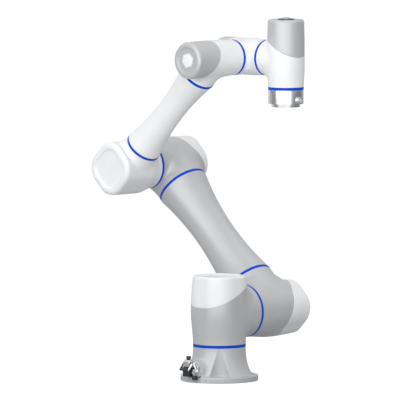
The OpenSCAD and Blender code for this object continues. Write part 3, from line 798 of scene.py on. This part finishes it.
def build_base():
    """The casting's skin, cut level under the first ring and closed there."""
    reach = FLANGE_R + 3
    bm = skin_bmesh(*skin_of(base_field, [-reach, -reach, -2], [reach, reach, BASE_SKIN_TOP], QUAD))
    cut_off(bm, (0, 0, BASE_TOP), (0, 0, 1))
    bmesh.ops.bridge_loops(bm, edges=[e for e in bm.edges if e.is_boundary])
    on_skin = [any(v.co.z <= BASE_TOP - 1e-3 for v in f.verts) for f in bm.faces]
    place_skin("base_casting", bm, base_field, np.diag([MM, MM, MM, 1]), on_skin)


# ---- Rings, connectors and small hardware: how far each one's edges are rounded

EDGES = {
    "connector_plate": 0.6, "plug_housing": 1.8, "plug_body": 2.0, "plug_knob": 1.0,
    "io_housing": 0.9, "io_gland": 0.8, "forearm_badge": 0.8, "button_panel": 0.8,
    "drag_button": 0.6, "cap_screws": 0.4, "tool_flange": 0.5, "tool_connector": 0.7,
    "base_bottom_plate": 0.5}


RING_EDGE = 0.15
LEVER_EDGE = 0.7
GRIP_REACH = 8.0


def build_hardware():
    for node in NODE_SLOT:
        if node.endswith("_ring"):
            softened(node, RING_EDGE)
    for node, width in EDGES.items():
        softened(node, width)


def build_lever():
    """The bail lever, with a dark grip on its front end."""
    lever = softened("latch_lever", LEVER_EDGE)
    low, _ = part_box("latch_lever")
    lever.data.materials.append(FINISHES["black_plastic"])
    for polygon in lever.data.polygons:
        polygon.material_index = int(polygon.center.y < low.y + GRIP_REACH * MM)


# ---- Stage, camera and light, in metres and degrees

VIEW_AZIMUTH = 44.03
VIEW_ELEVATION = 4.864
VIEW_DISTANCE = 25.517
VIEW_LENS = 1049.0
# The camera aims at this height on the base's axis, moved right and up in the view
AIM_HEIGHT = 0.35
AIM_RIGHT = -0.0424
AIM_UP = 0.0455
# Both softboxes face a point on the base's axis
SOFTBOX_AIM = 0.4
SOFTBOX_DISTANCE = 3.2
SOFTBOX_SIZE = (1.6, 2.4)
FLOOR_R = 1.7
FLOOR_DROP = 0.0005
FLOOR_GLOW = 0.75
# The studio around the arm: brightness by the angle to the right of the camera
PANORAMA = [
    (-180, 0.7), (-140, 0.7), (-118, 0.5), (-100, 0.3), (-76, 0.3), (-58, 1.2), (-40, 1.7), (18, 1.7),
    (34, 1.0), (46, 0.36), (74, 0.26), (86, 0.2), (120, 0.24), (150, 0.5)]
OVERHEAD = 0.95
BACKDROP = 1.03


def camera_axes(azimuth, elevation):
    """Right, up and forward for a camera that looks along the azimuth, tipped down."""
    a, e = math.radians(azimuth), math.radians(elevation)
    level = Vector((math.sin(-a), math.cos(-a), 0))
    forward = level * math.cos(e) - Vector((0, 0, math.sin(e)))
    right = forward.cross(Vector((0, 0, 1))).normalized()
    return right, right.cross(forward), forward


def point_at(name, data, aim, axes, distance):
    """Adds a camera or light that looks at aim from a distance."""
    right, up, forward = axes
    thing = bpy.data.objects.new(name, data)
    thing.matrix_world = Matrix((
        (right.x, up.x, -forward.x, 0), (right.y, up.y, -forward.y, 0),
        (right.z, up.z, -forward.z, 0), (0, 0, 0, 1)))
    thing.location = aim - forward * distance
    bpy.context.scene.collection.objects.link(thing)
    return thing


def add_camera():
    axes = camera_axes(VIEW_AZIMUTH, VIEW_ELEVATION)
    right, up, _ = axes
    aim = Vector((0, 0, AIM_HEIGHT)) + right * AIM_RIGHT + up * AIM_UP
    data = bpy.data.cameras.new("view")
    data.lens = VIEW_LENS
    data.sensor_width = 36.0
    data.clip_end = 200.0
    bpy.context.scene.camera = point_at("view", data, aim, axes, VIEW_DISTANCE)


def softbox(name, azimuth, elevation, power):
    """An area light facing the arm; azimuth is measured to the right of the camera."""
    data = bpy.data.lights.new(name, "AREA")
    data.shape = "RECTANGLE"
    data.size, data.size_y = SOFTBOX_SIZE
    data.energy = power
    axes = camera_axes(VIEW_AZIMUTH + azimuth, elevation)
    light = point_at(name, data, Vector((0, 0, SOFTBOX_AIM)), axes, SOFTBOX_DISTANCE)
    light.visible_camera = False


def only_seen(tree):
    """One for what the camera sees directly, zero for light that falls on the arm."""
    return tree.nodes.new("ShaderNodeLightPath").outputs["Is Camera Ray"]


def node_math(tree, operation, *inputs):
    node = tree.nodes.new("ShaderNodeMath")
    node.operation = operation
    for socket, value in zip(node.inputs, inputs):
        if isinstance(value, (int, float)):
            socket.default_value = value
        else:
            tree.links.new(value, socket)
    return node.outputs[0]


def part_along(tree, direction, axis):
    node = tree.nodes.new("ShaderNodeVectorMath")
    node.operation = "DOT_PRODUCT"
    tree.links.new(direction, node.inputs[0])
    node.inputs[1].default_value = axis
    return node.outputs["Value"]


def add_floor():
    """A pale round floor under the arm that fades into the backdrop."""
    bm = bmesh.new()
    bmesh.ops.create_circle(bm, cap_ends=True, segments=128, radius=FLOOR_R)
    bmesh.ops.translate(bm, verts=bm.verts, vec=(0, 0, -FLOOR_DROP))
    mesh = bpy.data.meshes.new("floor")
    bm.to_mesh(mesh)
    bm.free()
    floor = bpy.data.objects.new("floor", mesh)
    bpy.context.scene.collection.objects.link(floor)
    floor.data.materials.append(floor_finish())


def floor_finish():
    material, tree, shader = new_material("pale_floor")
    tone = ramp(tree, noise(tree, scale=3, detail=2), (0.42, 0.425, 0.43), (0.44, 0.445, 0.45))
    tree.links.new(tone, shader.inputs["Base Color"])
    shader.inputs["Roughness"].default_value = 0.9
    shader.inputs["Specular IOR Level"].default_value = 0.1
    shader.inputs["Emission Color"].default_value = (1, 1, 1, 1)
    glow = node_math(tree, "MULTIPLY", only_seen(tree), FLOOR_GLOW)
    tree.links.new(glow, shader.inputs["Emission Strength"])
    return material


def studio_walls(tree, direction):
    """Brightness around the arm, from PANORAMA; the ramp holds half of it, to stay under 1."""
    right, _, forward = camera_axes(VIEW_AZIMUTH, 0)
    sideways, ahead = part_along(tree, direction, right), part_along(tree, direction, -forward)
    angle = node_math(tree, "ARCTAN2", sideways, ahead)
    walls = tree.nodes.new("ShaderNodeValToRGB")
    stops = walls.color_ramp.elements
    stops.remove(stops[-1])
    for k, (degrees, light) in enumerate(PANORAMA):
        stop = stops.new(degrees / 360 + 0.5) if k else stops[0]
        stop.color = (light / 2, light / 2, light / 2, 1)
    tree.links.new(node_math(tree, "MULTIPLY_ADD", angle, 0.5 / math.pi, 0.5), walls.inputs["Fac"])
    return node_math(tree, "MULTIPLY", walls.outputs["Color"], 2.0)


def add_world():
    """Soft studio surroundings: light and dark walls, bright overhead, pale backdrop."""
    world = bpy.data.worlds.new("studio")
    world.use_nodes = True
    tree = world.node_tree
    direction = tree.nodes.new("ShaderNodeTexCoord").outputs["Generated"]
    walls = studio_walls(tree, direction)
    height = node_math(tree, "MAXIMUM", part_along(tree, direction, (0, 0, 1)), 0.0)
    overhead = node_math(tree, "SMOOTH_MIN", height, 1.0, 0.1)
    lift = node_math(tree, "MULTIPLY", overhead, node_math(tree, "SUBTRACT", OVERHEAD, walls))
    lit = node_math(tree, "ADD", walls, lift)
    shift = node_math(tree, "MULTIPLY", only_seen(tree), node_math(tree, "SUBTRACT", BACKDROP, lit))
    background = tree.nodes["Background"].inputs
    tree.links.new(node_math(tree, "ADD", lit, shift), background["Strength"])
    background["Color"].default_value = (0.99, 0.995, 1.0, 1)
    bpy.context.scene.world = world


add_camera()
add_world()
add_floor()
softbox("key_box", azimuth=-14, elevation=16, power=6)
softbox("side_box", azimuth=-54, elevation=20, power=5)
bpy.context.scene.view_settings.view_transform = "Standard"

finish_cad_nodes()
build_base()
build_shoulder()
build_upper_arm_low()
build_upper_arm_elbow()
build_tube("upper_arm_tube", "upper_arm_lower_ring", "upper_arm_upper_ring", UPPER_TUBE_R, UPPER_WAIST_R)
build_forearm_elbow()
build_forearm_wrist()
build_tube("forearm_tube", "forearm_lower_ring", "forearm_upper_ring", FORE_TUBE_R, FORE_WAIST_R)
build_first_wrist()
build_second_wrist()
build_hardware()
build_lever()
